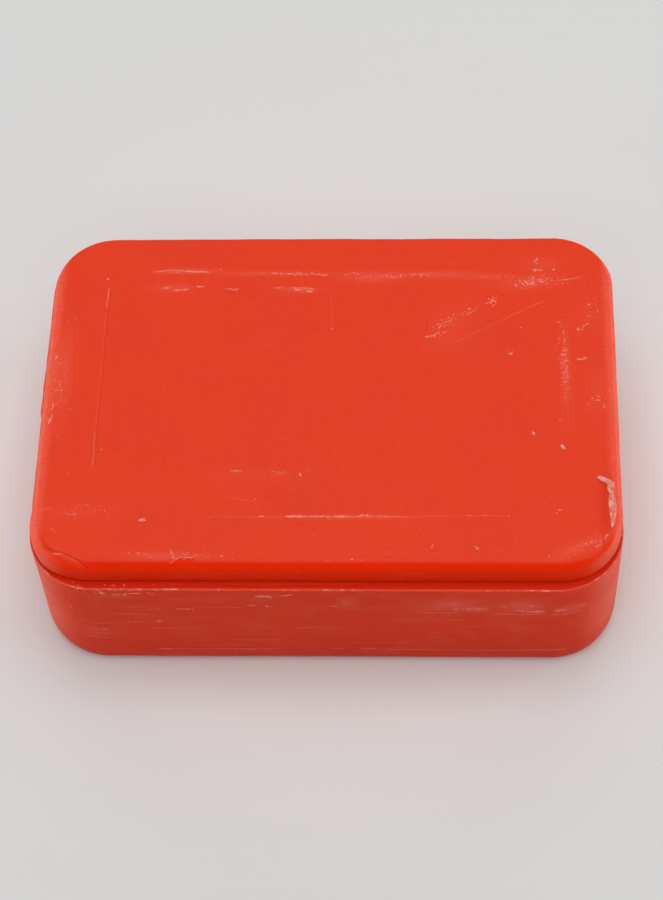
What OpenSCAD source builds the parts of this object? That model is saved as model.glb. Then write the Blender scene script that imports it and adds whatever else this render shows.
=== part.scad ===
// Detailing clay bar: a solid, soft bar that lies flat. A shallower upper slab sits
// slightly inset on a deeper lower block, so a narrow ledge runs round the bar.
// A shaving and a few crumbs of the same clay stick to its top and to its ledge.
// Frame: X along the length, Y from front to back, Z up. The origin is the middle of
// the underside.

/* [Bar] */
// Length of the lower block along X, mm
bar_length = 85; // [70:1:110]
// Width of the lower block along Y, mm
bar_width = 60.3; // [48:0.1:80]
// Height of the lower block, mm
block_height = 22.6; // [12:0.2:32]
// Thickness of the upper slab, mm
slab_height = 3.9; // [3:0.1:10]
// Radius of the lower block's upright corners, seen from above, mm
corner_radius = 9.7; // [6:0.1:16]

/* [Ledge] */
// How far the slab stands back from the block's left side, mm
inset_left = 0.75; // [0:0.05:1.5]
// How far the slab stands back from the block's right side, mm
inset_right = 0.25; // [0:0.05:1.5]
// Width of the ledge along the front, mm
inset_front = 1.4; // [1:0.05:1.8]
// Width of the ledge along the back, mm
inset_back = 1.4; // [0:0.05:1.8]
// How much smaller the slab's upright corners are than the block's, in radius, mm
corner_step = 0.8; // [0:0.1:1.5]

/* [Edges] */
// Rounding of the slab's top edge, mm
top_edge_radius = 1; // [0.5:0.1:2.5]
// Rounding of the block's bottom edge, mm
bottom_edge_radius = 2.4; // [0.5:0.1:4]

/* [Shaving] */
// Width of the shaving, mm
flake_width = 1.1; // [0.6:0.1:2.5]
// Thickness of the shaving, mm
flake_thickness = 0.3; // [0.2:0.05:0.6]
// Length of the shaving along Y, mm
flake_length = 8; // [4:0.5:12]
// From the front of the slab to the shaving's near end, mm
flake_from_front = 6.6; // [3:0.1:10]
// Flat margin between the shaving and the rounded edge, mm
flake_margin = 0.1; // [0.05:0.05:0.5]

/* [Crumbs] */
// Height of a crumb, as a share of its radius
crumb_rise = 0.7; // [0.4:0.05:1]
// Radius of the crumbs on the ledge, mm
ledge_crumb_radius = 0.32; // [0.2:0.02:0.4]
// Spacing of the crumbs on the ledge, mm
ledge_crumb_pitch = 1.4; // [1:0.1:3]
// From the block's left side to the first crumb on the ledge, mm
ledge_crumb_start = 11.5; // [10:0.5:20]
// Number of crumbs on the ledge
ledge_crumb_count = 3; // [1:1:5]

/* [Hidden] */
$fn = 64;
clay_red = [0.86, 0.17, 0.09];
clay_dull_red = [0.70, 0.17, 0.12];
clay_pale = [0.92, 0.48, 0.38];

slab_length = bar_length - inset_left - inset_right;
slab_width = bar_width - inset_front - inset_back;
slab_x = (inset_left - inset_right) / 2;
slab_y = (inset_front - inset_back) / 2;
slab_corner_radius = corner_radius - corner_step;
bar_top = block_height + slab_height;
flake_outer_inset = top_edge_radius + flake_margin;

// Crumbs on the top face, each as [side, end, inset_x, inset_y, radius]. side is 1 for
// the right half and -1 for the left. end is 1 for the back half and -1 for the front.
// The insets are counted from the slab's own edges, mm.
TOP_CRUMBS = [
    [-1, -1, 16.0, 7.6, 0.55],
    [-1, -1, 29.0, 15.8, 0.3],
    [-1, -1, 38.2, 15.2, 0.4],
    [-1, 1, 8.0, 7.9, 0.3],
    [1, -1, 20.6, 3.1, 0.35],
    [1, -1, 8.2, 19.8, 0.45],
    [1, -1, 12.4, 22.2, 0.35],
    [1, -1, 9.0, 9.4, 0.4],
    [1, 1, 41.8, 17.0, 0.35],
    [1, 1, 15.4, 21.6, 0.3],
    [1, 1, 5.4, 17.2, 0.3],
    [1, 1, 11.2, 4.4, 0.35],
    [1, 1, 8.8, 6.4, 0.3]
];

// A quarter of the bar's edge in section: a rectangle that is run long, high, with its
// lower and upper outer corners rounded by low_r and high_r.
module edge_section(run, high, low_r, high_r) {
    union() {
        square([run - max(low_r, high_r), high]);
        translate([0, low_r])
            square([run, high - low_r - high_r]);
        if (low_r > 0) {
            square([run - low_r, low_r]);
            translate([run - low_r, low_r])
                intersection() {
                    circle(r = low_r);
                    translate([0, -low_r])
                        square(low_r);
                }
        }
        if (high_r > 0) {
            translate([0, high - high_r])
                square([run - high_r, high_r]);
            translate([run - high_r, high - high_r])
                intersection() {
                    circle(r = high_r);
                    square(high_r);
                }
        }
    }
}

// A flat bar with upright corners of radius corner_r, standing on Z = 0 and centred on
// the Z axis, with its bottom and top edges rounded.
module soft_bar(length, width, high, corner_r, low_r, high_r) {
    straight_x = length - 2 * corner_r;
    straight_y = width - 2 * corner_r;
    union() {
        translate([-straight_x / 2, -straight_y / 2, 0])
            cube([straight_x, straight_y, high]);
        for (side = [0, 180])
            rotate([0, 0, side]) {
                translate([straight_x / 2, straight_y / 2, 0])
                    rotate([90, 0, 0])
                        linear_extrude(height = straight_y)
                            edge_section(corner_r, high, low_r, high_r);
                translate([-straight_x / 2, straight_y / 2, 0])
                    rotate([90, 0, 90])
                        linear_extrude(height = straight_x)
                            edge_section(corner_r, high, low_r, high_r);
                translate([straight_x / 2, straight_y / 2, 0])
                    rotate_extrude(angle = 90)
                        edge_section(corner_r, high, low_r, high_r);
                translate([-straight_x / 2, straight_y / 2, 0])
                    rotate([0, 0, 90])
                        rotate_extrude(angle = 90)
                            edge_section(corner_r, high, low_r, high_r);
            }
    }
}

// The slab's outline seen from above, drawn in by inset.
module slab_outline(inset) {
    r = slab_corner_radius - inset;
    half_x = slab_length / 2 - slab_corner_radius;
    half_y = slab_width / 2 - slab_corner_radius;
    translate([slab_x, slab_y])
        union() {
            square([2 * half_x, 2 * (half_y + r)], center = true);
            square([2 * (half_x + r), 2 * half_y], center = true);
            for (x = [-half_x, half_x], y = [-half_y, half_y])
                translate([x, y])
                    circle(r = r);
        }
}

// One crumb: the cap of a ball, lying on its flat side.
module crumb(radius) {
    drop = radius * (1 / crumb_rise - crumb_rise) / 2;
    ball = drop + radius * crumb_rise;
    intersection() {
        translate([0, 0, -drop])
            sphere(r = ball);
        translate([-ball, -ball, 0])
            cube([2 * ball, 2 * ball, ball]);
    }
}

module lower_block() {
    color(clay_dull_red)
        soft_bar(bar_length, bar_width, block_height, corner_radius, bottom_edge_radius, 0);
}

module upper_slab() {
    color(clay_red)
        translate([slab_x, slab_y, block_height])
            soft_bar(slab_length, slab_width, slab_height, slab_corner_radius, 0,
                     top_edge_radius);
}

// The shaving follows the rim of the top face round the front right corner.
module edge_flake() {
    near_y = slab_y - slab_width / 2 + flake_from_front;
    color(clay_pale)
        translate([0, 0, bar_top])
            linear_extrude(height = flake_thickness)
                intersection() {
                    difference() {
                        slab_outline(flake_outer_inset);
                        slab_outline(flake_outer_inset + flake_width);
                    }
                    translate([slab_x, near_y])
                        square([slab_length, flake_length]);
                }
}

module crumbs() {
    color(clay_pale) {
        for (c = TOP_CRUMBS)
            translate([slab_x + c[0] * (slab_length / 2 - c[2]),
                       slab_y + c[1] * (slab_width / 2 - c[3]), bar_top])
                crumb(c[4]);
        for (i = [0 : ledge_crumb_count - 1])
            translate([-bar_length / 2 + ledge_crumb_start + i * ledge_crumb_pitch,
                       -bar_width / 2 + inset_front / 2, block_height])
                crumb(ledge_crumb_radius);
    }
}

lower_block();
upper_slab();
edge_flake();
crumbs();
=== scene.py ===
import math

import bpy
import numpy as np
from mathutils import Matrix, Vector


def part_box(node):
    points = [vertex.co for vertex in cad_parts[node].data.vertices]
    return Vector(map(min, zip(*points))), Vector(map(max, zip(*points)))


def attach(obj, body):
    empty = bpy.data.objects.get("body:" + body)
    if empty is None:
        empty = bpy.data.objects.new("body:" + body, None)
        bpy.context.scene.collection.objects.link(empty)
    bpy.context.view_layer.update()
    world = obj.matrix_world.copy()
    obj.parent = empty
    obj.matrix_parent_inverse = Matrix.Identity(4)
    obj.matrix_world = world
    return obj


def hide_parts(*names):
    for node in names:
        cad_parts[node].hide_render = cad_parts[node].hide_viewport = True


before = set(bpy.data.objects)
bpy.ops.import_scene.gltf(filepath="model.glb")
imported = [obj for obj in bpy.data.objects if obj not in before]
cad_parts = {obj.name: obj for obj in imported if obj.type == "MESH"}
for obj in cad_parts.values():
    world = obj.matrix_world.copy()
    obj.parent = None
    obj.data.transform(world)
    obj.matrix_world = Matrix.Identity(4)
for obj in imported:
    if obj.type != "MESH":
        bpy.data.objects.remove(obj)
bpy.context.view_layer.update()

# A soft, waxy clay bar: an upper slab on a lower block. All shaping below is in millimetres
# in the row's frame, X along the bar, Y from front to back, Z up. Meshes are made in metres.

# ------------------------ sizes, mm

MM = 0.001
BLOCK_CORNER = 9.7        # upright corners of the lower block, radius
SLAB_CORNER = 8.9         # upright corners of the upper slab, radius
TOP_ROUND = 1.0           # rounding of the slab's top edge
BASE_SOFT_DEPTH = 1.3     # the block's bottom edge draws in by this much
BASE_SOFT_HEIGHT = 4.2    # over this height
TUCK = 0.12               # the slab's side draws in at its foot, which darkens the seam
TUCK_HEIGHT = 0.5
TUCK_TILT = 20.0          # degrees below level that the tuck faces at its foot
RIM_BEVEL = 0.14          # softness of the block's upper rim
UNDERLAP = 2.6            # the rings of the block's top run in this far, to under the slab

SLAB_PITCH = 0.3          # mesh spacing
BLOCK_PITCH = 0.42
FINE = 0.15               # mesh spacing round the small marks

# How far the marks on the slab stand out or cut in.
PUSHED_OUT = 0.75         # the front left corner, pushed out over the ledge
FOLD_DEPTH = 0.07
NICK_DEPTH = 0.2
NICK_LIP = 0.06           # the torn lip above the nick stands out by this much
SCRAPE_DEPTH = 0.16       # the hollow along the right rim
SCRAPE_INSET = 2.3        # where its middle lies, in from the slab's right side
WORN_EDGE = 0.16          # the left and right edges are worn down by this much
DENT_DEPTH = 0.09

# The same for the block.
BURR_HEIGHT = 0.13
FLASH_REACH = 0.18
SEAM_DEPTH = 0.1
SEAM_OUT = 0.62           # the second seam's distance from the slab's wall
CRUMBLE_HEIGHT = 0.07

# The shaving and the crumbs.
SHAVING_HALF = 0.62       # half width
SHAVING_THICK = 0.24
SHAVING_INSET = 1.5       # its middle, in from the slab's right side
SHAVING_UNDER = 0.08      # how far its flat side lies below the slab's surface
CRUMB_UNDER = 0.12        # and the crumbs'


# ------------------------ helpers

def box_mm(node):
    """Lowest and highest corner of a CAD node."""
    low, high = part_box(node)
    return np.array(low) / MM, np.array(high) / MM


def hashed(cells, seed):
    """A fixed pseudo-random number from -1 to 1 for each whole-number cell."""
    n = (cells[:, 0] * 73856093) ^ (cells[:, 1] * 19349663) ^ (cells[:, 2] * 83492791)
    n = (n ^ (seed * 2654435761)) & 0xFFFFFFFF
    n = ((n ^ (n >> 15)) * 2246822519) & 0xFFFFFFFF
    n = ((n ^ (n >> 13)) * 3266489917) & 0xFFFFFFFF
    return ((n ^ (n >> 16)) & 0xFFFFFF) / 0x7FFFFF - 1.0


def noise(points, size, seed):
    """Smooth noise from -1 to 1 whose bumps are about size across. size may be one per axis."""
    scaled = points / np.asarray(size, float)
    cell = np.floor(scaled).astype(np.int64)
    t = scaled - cell
    t = t * t * (3 - 2 * t)
    total = np.zeros(len(points))
    for corner in np.ndindex(2, 2, 2):
        share = np.prod(np.where(np.array(corner), t, 1 - t), axis=1)
        total += share * hashed(cell + np.array(corner), seed)
    return total


def fractal(points, size, seed, octaves=3):
    """Noise with finer noise on top, each octave half the size and half the height."""
    total = np.zeros(len(points))
    for k in range(octaves):
        total += noise(points, np.asarray(size, float) / 2 ** k, seed + 31 * k) / 2 ** k
    return total


def smooth(value, low, high):
    """0 below low, 1 above high and a soft step between them."""
    t = np.clip((value - low) / (high - low), 0, 1)
    return t * t * (3 - 2 * t)


def bell(distance, width):
    """1 in the middle, falling off to either side."""
    return np.exp(-(distance / width) ** 2)


def along(plan, start, end):
    """How far along start-end each point lies (0 to 1), its distance from it, and the side."""
    start, end = np.array(start, float), np.array(end, float)
    run = end - start
    t = ((plan - start) @ run) / (run @ run)
    off = plan - (start + np.clip(t, 0, 1)[:, None] * run)
    side = (run[0] * off[:, 1] - run[1] * off[:, 0]) / np.hypot(*run)
    return t, np.hypot(off[:, 0], off[:, 1]), side


def in_from_edge(plan, outline):
    """How far each point lies inside an outline, and how squarely that edge faces the front."""
    reach = np.abs(plan - outline.centre) - (outline.half - outline.corner)
    beyond = np.hypot(*np.clip(reach, 1e-9, None).T)
    at_corner = (reach > 0).all(1)
    inside = outline.corner - np.where(at_corner, beyond, reach.max(1))
    share = np.where(at_corner, reach[:, 1] / beyond, reach[:, 1] > reach[:, 0])
    return inside, share * (plan[:, 1] < outline.centre[1])


def grid_lines(half, pitch, fine=()):
    """Places from -half to half, pitch apart, and closer round each (place, reach, spacing)."""
    s = np.linspace(-half, half, 6001)
    density = np.full_like(s, 1 / pitch)
    for place, reach, spacing in fine:
        density = np.maximum(density, bell(s - place, reach) / spacing)
    grown = np.concatenate([[0], np.cumsum((density[1:] + density[:-1]) / 2 * np.diff(s))])
    count = int(round(grown[-1]))
    return np.interp(np.linspace(0, grown[-1], count + 1), grown, s)


# ------------------------ the bar's mesh

class Outline:
    """A rounded rectangle seen from above."""

    def __init__(self, node, corner):
        low, high = box_mm(node)
        self.centre = (low[:2] + high[:2]) / 2
        self.half = (high[:2] - low[:2]) / 2
        self.corner = corner
        self.bottom, self.top = low[2], high[2]

    def place(self, a, b, inset=0.0):
        """Plan position of lattice place (a, b) when the outline is drawn in by inset."""
        core = self.half - self.corner
        u = np.clip((np.abs(a) - core[0]) / self.corner, 0, 1)
        v = np.clip((np.abs(b) - core[1]) / self.corner, 0, 1)
        out = np.stack([u * np.sqrt(1 - v * v / 2), v * np.sqrt(1 - u * u / 2)], 1)
        reach = np.stack([np.minimum(np.abs(a), core[0]), np.minimum(np.abs(b), core[1])], 1)
        sign = np.stack([np.sign(a), np.sign(b)], 1)
        return self.centre + sign * (reach + (self.corner - inset) * out), sign * out


def quarter_turn(steps):
    """Angles from 0 to 90 degrees, each as (degrees, 1 - its sine, 1 - its cosine)."""
    turns = [math.pi / 2 * k / steps for k in range(steps + 1)]
    return [(math.degrees(turn), 1 - math.sin(turn), 1 - math.cos(turn)) for turn in turns]


def round_the_lattice(nx, ny):
    """Lattice places once round its edge, anticlockwise seen from above."""
    front = [(i, 0) for i in range(nx)]
    right = [(nx, j) for j in range(ny)]
    back = [(i, ny) for i in range(nx, 0, -1)]
    left = [(0, j) for j in range(ny, 0, -1)]
    return np.array(front + right + back + left)


def shell(outline, xs, ys, rings, faces_up):
    """A closed bar: a lattice over one face, then rings, each (inset, z, tilt of the surface
    above level in degrees), and one flat face to close the far end. Returns the points, the
    outward directions and the faces."""
    nx, ny = len(xs) - 1, len(ys) - 1
    a, b = [g.ravel() for g in np.meshgrid(xs, ys, indexing="ij")]
    inset, z, _ = rings[0]
    plan, _ = outline.place(a, b, inset)
    points = [np.column_stack([plan, np.full(len(plan), z)])]
    normals = [np.tile([0.0, 0.0, 1.0 if faces_up else -1.0], (len(plan), 1))]
    edge = round_the_lattice(nx, ny)
    rim_a, rim_b = xs[edge[:, 0]], ys[edge[:, 1]]
    for inset, z, tilt in rings[1:]:
        plan, out = outline.place(rim_a, rim_b, inset)
        lean = math.radians(tilt)
        points.append(np.column_stack([plan, np.full(len(plan), z)]))
        normals.append(np.column_stack([out * math.cos(lean), np.full(len(plan), math.sin(lean))]))
    i, j = [g.ravel() for g in np.meshgrid(np.arange(nx), np.arange(ny), indexing="ij")]
    first = i * (ny + 1) + j
    quads = [np.stack([first, first + ny + 1, first + ny + 2, first + 1], 1)]
    loop = edge[:, 0] * (ny + 1) + edge[:, 1]
    size, start = len(loop), (nx + 1) * (ny + 1)
    for _ in rings[1:]:
        further = start + np.arange(size)
        quads.append(np.stack([loop, further, np.roll(further, -1), np.roll(loop, -1)], 1))
        loop, start = further, start + size
    quads = np.concatenate(quads)
    cap = loop[::-1]
    if not faces_up:
        quads, cap = quads[:, ::-1], cap[::-1]
    return np.concatenate(points), np.concatenate(normals), quads.tolist() + [cap.tolist()]


def make_mesh(name, points, faces, masks=None):
    """An object from points in mm. Each mask, from 0 to 1 at each point, steers its material."""
    mesh = bpy.data.meshes.new(name)
    mesh.from_pydata((points * MM).tolist(), [], faces)
    mesh.validate()
    mesh.shade_smooth()
    for mask, values in (masks or {}).items():
        layer = mesh.attributes.new(mask, "FLOAT", "POINT")
        layer.data.foreach_set("value", np.clip(values, 0, 1).astype(np.float32))
    piece = bpy.data.objects.new(name, mesh)
    bpy.context.scene.collection.objects.link(piece)
    return piece


# ------------------------ marks on the clay

# Straight scuffs on the top face, in mm from the middle of the slab, each as
# (start x, start y, end x, end y, half width, strength).
TOP_SCUFFS = [
    # worn line along the back
    (-27.3, 22.4, -18, 22.1, 0.2, 0.5), (-17.6, 22.9, -16.4, 22.6, 0.14, 0.7),
    (-16, 22, -10, 21.8, 0.3, 0.25), (-10, 22, 0, 21.5, 0.24, 0.6), (2, 21.9, 4, 21.7, 0.3, 0.55),
    (4, 21.2, 9, 21, 0.5, 0.3), (9, 21.6, 15, 21.5, 0.5, 0.42), (15.5, 21.4, 27, 21, 0.4, 0.28),
    # the shorter marks in front of it
    (-26, 19.5, -23.6, 18.9, 0.2, 0.7), (-24.2, 18.8, -21.6, 18.9, 0.22, 0.75),
    (-22.8, 19.5, -21.2, 19.7, 0.16, 0.6), (-20.3, 19.5, -19, 19.5, 0.18, 0.95),
    (-16.2, 19, -14.1, 18.9, 0.16, 0.8), (-8.6, 19.2, -2.6, 19.1, 0.14, 0.75),
    (-5.5, 18.9, -3, 18.5, 0.24, 0.9),
    # worn line along the front
    (-27, -20.3, -22, -20.2, 0.14, 0.3), (-17, -20.5, -9, -20.4, 0.1, 0.3),
    (-9.6, -20.4, -8.6, -20.4, 0.16, 0.8), (-5.5, -20.4, 2.5, -20.3, 0.2, 0.95),
    (2.5, -20.3, 12, -20.4, 0.13, 0.8), (5, -20.2, 6, -20.2, 0.2, 0.9),
    (12, -20.3, 17, -20.1, 0.12, 0.35), (20, -20.2, 26, -20.2, 0.12, 0.5),
    # right-hand worn line
    (33.8, 14.5, 34.2, 11.5, 0.3, 0.35), (34.4, 11.5, 34.6, 4, 0.34, 0.42),
    (34.8, 6.5, 34.5, -0.6, 0.3, 0.45), (33.9, -2, 34.1, -6.5, 0.3, 0.3),
    # near the back right corner
    (30.3, 24.6, 30.6, 23.8, 0.2, 0.7), (30.2, 22.3, 32, 22.3, 0.2, 0.85),
    (34.2, 20.4, 36.8, 21, 0.16, 0.7),
    # along the left edge
    (-40.7, 6.5, -40.6, 6.9, 0.18, 0.9), (-39.4, 7.5, -37.8, 7.5, 0.12, 0.5),
    (-40.4, 2.3, -38.3, 2.3, 0.12, 0.55), (-40.4, 1, -39.4, 0.9, 0.15, 0.7),
    (-40.6, -2.5, -40.4, -1.3, 0.18, 0.7), (-40.8, -4.7, -40.4, -3.4, 0.22, 0.8),
    (-38.2, -2.5, -37.7, -2.5, 0.3, 0.4), (-33.5, -9.3, -32.6, -9.3, 0.12, 0.5),
    # the diagonal scratch and the bright foot of the dent
    (18.4, 9.4, 20, 10.3, 0.14, 0.4), (25.4, 13.3, 28.6, 15.1, 0.1, 0.4),
    (14, 10.3, 15.3, 10.4, 0.16, 0.9), (15.8, 10.8, 16.8, 11.1, 0.12, 0.6),
    # short marks towards the right edge
    (36.6, 11, 38, 12.6, 0.2, 0.8), (36.4, 6.3, 37.8, 6.5, 0.2, 0.85),
    (37.8, 6.5, 39.3, 7.1, 0.09, 0.5), (37.4, -6.6, 39, -6.9, 0.09, 0.6),
    (38, -11, 39.9, -11.2, 0.09, 0.5), (37.4, -1.6, 39.8, -1.2, 0.1, 0.5),
    (37.3, -2.4, 40.4, -2.6, 0.09, 0.45), (37.8, 0.3, 40.6, 0.4, 0.09, 0.4),
    # small marks in the front half
    (-13.8, -12.9, -12.2, -13, 0.2, 0.7), (-8.3, -13, -6.2, -13.1, 0.2, 0.8),
    (-10.2, -17.7, -9.5, -17.1, 0.14, 0.95), (-16.2, -17.4, -15.6, -17.4, 0.14, 0.5),
    (-37.2, -19.9, -35.2, -20.1, 0.2, 0.6), (-35.6, -18.8, -33.8, -18.5, 0.22, 0.45),
    (-32.4, -18.7, -31.4, -18.8, 0.24, 0.35), (-40.8, -19.2, -39.4, -19, 0.12, 0.5),
    (-39.2, -22.4, -38.4, -22.8, 0.22, 0.55), (-37.7, -12.2, -37.3, -13.2, 0.34, 0.35),
    (3.4, -16.2, 4.4, -16.1, 0.3, 0.35), (8, -15.6, 8.8, -16, 0.3, 0.3),
    (32.6, -19.8, 33.6, -19, 0.14, 0.7), (26.8, -24.4, 28.3, -24.2, 0.12, 0.75),
    (14.9, -25.5, 15.2, -25, 0.2, 0.55), (21.2, -25.2, 22.2, -26.6, 0.2, 0.85),
    # along the front edge
    (-26.4, -26.4, -25, -26.5, 0.18, 0.7), (-24.6, -26.9, -23.6, -27.5, 0.16, 0.7),
    (-21.7, -26, -21.2, -27, 0.22, 0.7), (-14.8, -26.9, -13.9, -27.2, 0.22, 0.95),
    (-13.6, -26, -12.8, -26.2, 0.2, 0.55), (0.2, -27.5, 1.3, -27.6, 0.14, 0.5),
    (3.6, -27.2, 5.6, -27.3, 0.14, 0.6),
    # round the front right corner
    (38.9, -23.9, 39.6, -23.3, 0.26, 0.8), (37.6, -25.6, 38.6, -24.8, 0.3, 0.6),
    (34.2, -24.9, 36.2, -25.3, 0.24, 0.4),
]

# Patches of fine pale specks on the top face: (x, y, half length, half width, turn, density).
TOP_SPECKS = [
    (30, 20.2, 4.8, 1.3, 5, 0.8), (31.5, 23.5, 3, 1.6, 0, 0.3), (24, 16.8, 1.8, 1, 50, 0.75),
    (20.4, 15, 1.8, 0.8, 25, 0.75), (17, 12.8, 3.4, 1.4, 40, 0.65), (16, 10.8, 2.2, 0.8, 20, 0.6),
    (19, 6.2, 1.8, 1.2, 20, 0.35), (28, 12.6, 1.4, 1, -40, 0.35), (26.5, 7.2, 1.2, 1.2, 0, 0.3),
    (30, 5.3, 0.8, 0.8, 0, 0.5), (34.3, 6, 1, 8.5, 0, 0.68), (33.8, -4, 0.7, 2.5, 0, 0.4),
    (38.6, 15.5, 1.6, 2.2, 0, 0.35), (37.2, 12, 1.2, 1.2, 0, 0.45), (39, -1, 1.8, 3, 0, 0.45),
    (39.5, 5, 1, 4.5, 0, 0.2), (-39.5, 0, 1.5, 7, 0, 0.28), (-38, 13.5, 2, 2, 0, 0.25),
    (-5, 21.8, 5.5, 0.6, 0, 0.5), (9, 21.4, 8, 0.6, 0, 0.45), (-9, 21.9, 8, 0.7, 0, 0.3),
    (0, -20.4, 6, 0.4, 0, 0.6), (-3.2, -13.4, 0.8, 0.9, 0, 0.5), (-10.5, -14.3, 12, 3, 0, 0.08),
    (-20, -26.8, 9, 0.9, 0, 0.35), (-1.9, -24.2, 0.8, 1, 0, 0.45), (-34, -19.5, 5, 1.8, 0, 0.25),
    (37.5, -24.6, 2.6, 1, 35, 0.5), (30, -26.6, 8, 0.6, 0, 0.18),
]

# Thin pale films on the top face, as for the specks with the strength last.
TOP_FILMS = [
    (6.5, 21.2, 5, 1, 0, 0.4), (16, 21.6, 7, 0.7, 0, 0.32), (23, 21.2, 5, 0.7, 0, 0.28),
    (30, 20.2, 4.5, 1.3, 5, 0.3), (31.5, 23.2, 3, 1.6, 0, 0.15), (18, 13, 4, 2.5, 40, 0.14),
    (17.5, 9.5, 4, 2, 20, 0.08), (-24, 19.2, 3, 0.7, 0, 0.35), (-5, 18.9, 3, 0.6, 0, 0.4),
    (-22, 22.3, 5, 0.5, 0, 0.45), (34.6, 4, 0.8, 7, 0, 0.3), (-9, 21.9, 9, 0.5, 0, 0.3),
    (38, 14, 2, 3, 0, 0.12), (39, 0, 1.5, 4, 0, 0.15), (-39.5, 4, 1.5, 8, 0, 0.3),
    (2, -20.4, 9, 0.35, 0, 0.35), (-10, -13.5, 8, 1.2, 0, 0.1), (-36, -19.6, 5, 1.2, 0, 0.1),
    (36, -25, 4, 0.8, 25, 0.35), (-22, -26.8, 6, 0.7, 0, 0.3),
]

# Long thin lines, drawn finer than the mesh: (start x, start y, end x, end y, half width,
# strength) on the top face, and with z for y on the front.
TOP_LINES = [
    # the first three lines lie along the lip of the groove on the left: pale scuff and a painted
    # highlight
    (-33.75, 19.4, -33.8, 15.5, 0.13, 0.62), (-33.8, 17, -33.9, -7.5, 0.12, 0.14),
    (-33.9, -6, -33.8, -12.6, 0.13, 0.36), (-38.4, -26.5, -36.9, -26.5, 0.13, 0.75),
    (18.4, 9.4, 25.4, 13.3, 0.12, 0.12), (25, 13.1, 32.2, 17.1, 0.12, 0.2),
    (-27.3, 22.2, -24.4, 22.6, 0.13, 0.6), (-24.8, 22.6, -21.2, 22.3, 0.13, 0.55),
    (-22.6, 22.4, -18.6, 22.1, 0.17, 0.95), (-16.5, -20.5, -5, -20.45, 0.1, 0.14),
    (-6, -20.4, 3, -20.3, 0.13, 0.4), (2, -20.3, 12.5, -20.4, 0.12, 0.34),
    (12, -20.35, 26, -20.2, 0.11, 0.16), (33.6, 20.3, 37.4, 21.1, 0.13, 0.4),
    (-40.6, -19.3, -39.2, -19.1, 0.12, 0.35), (-13.9, -17.4, -9.8, -17.9, 0.1, 0.2),
    (-0.2, 18.6, 0.2, 12.2, 0.12, 0.14), (13.9, 10.2, 15.6, 10.6, 0.16, 0.7),
]
FRONT_LINES = [
    (-5, 11.1, 3, 11, 0.13, 0.4), (-19.5, 17.5, -11.5, 17.4, 0.15, 0.35),
    (-36, 12.5, -31.5, 12.1, 0.14, 0.32), (-35.8, 7.7, -31, 7.6, 0.14, 0.28),
    (-30.5, 15.2, -24, 15.1, 0.12, 0.3), (-26, 10.8, -17.5, 10.6, 0.12, 0.3),
    (-15, 7.2, -6, 7.2, 0.12, 0.25), (-22, 5.4, -10, 5.5, 0.12, 0.25), (3, 6.4, 14, 6.2, 0.12, 0.25),
    (10, 13.8, 21, 13.6, 0.12, 0.25), (23.5, 15.7, 31, 15.6, 0.14, 0.5),
    (13, 16.1, 19.5, 15.9, 0.13, 0.5), (32.2, 15.7, 36.8, 15.5, 0.14, 0.45),
    (18, 11.8, 30, 11.6, 0.12, 0.22), (0.4, 4.5, 2.6, 4.5, 0.14, 0.6), (4.8, 4.5, 7.4, 4.5, 0.14, 0.6),
    (8, 4.3, 22, 4.2, 0.15, 0.4), (21, 4.2, 36, 4.3, 0.15, 0.45), (-26, 4.2, -6, 4.3, 0.14, 0.35),
]

# Fine grooves on the top face: (start x, start y, end x, end y, half width, depth).
TOP_GROOVES = [
    (-33.6, 19, -33.7, -1, 0.18, 0.08), (-33.7, -1, -33.6, -12.8, 0.18, 0.08),
    (14.35, 13.8, 14.35, 11, 0.2, 0.08), (-0.4, 18.4, 0.1, 12.4, 0.22, 0.03),
    (-14, -17.4, -10.3, -17.8, 0.2, 0.12), (18.4, 9.2, 33.5, 17.6, 0.14, 0.03),
    (4, -26.7, 17, -26.9, 0.4, 0.03), (6.5, -27.4, 15, -27.7, 0.25, 0.035),
]

# The fold at the front left corner, along which a lobe of clay was pushed over.
FOLD = [(-40.2, -25.2), (-38.4, -26.0), (-36.8, -26.4), (-35.2, -27.2), (-34.0, -28.0), (-33.1, -28.6)]

# Lines of painted shade on the top face: in the fold's crease, in the groove along the left, and in the
# dent towards the back.
FOLD_SHADE_STRENGTHS = (0.25, 0.3, 0.4, 0.55, 0.5)
TOP_CREASE_SHADES = [
    (*start, *end, 0.15, strength)
    for start, end, strength in zip(FOLD, FOLD[1:], FOLD_SHADE_STRENGTHS)
]
TOP_CREASE_SHADES += [(-33.6, 18.5, -33.7, -12.0, 0.12, 0.1), (14.3, 13.8, 14.2, 11.2, 0.18, 0.3)]

# The torn nick in the front top edge: its ends, mm.
NICK_LEFT, NICK_RIGHT = -21.9, -18.3


def to_path(plan, path):
    """Distance from each point to a path, its signed side, and the share of the way along."""
    best = np.full(len(plan), 1e9)
    side = np.zeros(len(plan))
    share = np.zeros(len(plan))
    for k, (start, end) in enumerate(zip(path, path[1:])):
        t, distance, which = along(plan, start, end)
        nearer = distance < best
        best = np.where(nearer, distance, best)
        side = np.where(nearer, which, side)
        share = np.where(nearer, (k + np.clip(t, 0, 1)) / (len(path) - 1), share)
    return best, side, share


def strokes(plan, marks, seed):
    """Mask of ragged straight scuffs."""
    total = np.zeros(len(plan))
    for k, (x0, y0, x1, y1, width, strength) in enumerate(marks):
        _, distance, _ = along(plan, (x0, y0), (x1, y1))
        near = distance < 4 * width
        spot = np.column_stack([plan[near], np.full(near.sum(), 0.37 * k)])
        run = np.array([abs(x1 - x0), abs(y1 - y0)])
        grain = 0.25 + 0.9 * run / max(run.sum(), 0.01)
        broken = smooth(fractal(spot, (grain[0], grain[1], 1.0), seed + k, 2), -1.1, 0.1)
        total[near] = np.maximum(total[near], strength * bell(distance[near], width) * broken)
    return total


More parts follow.
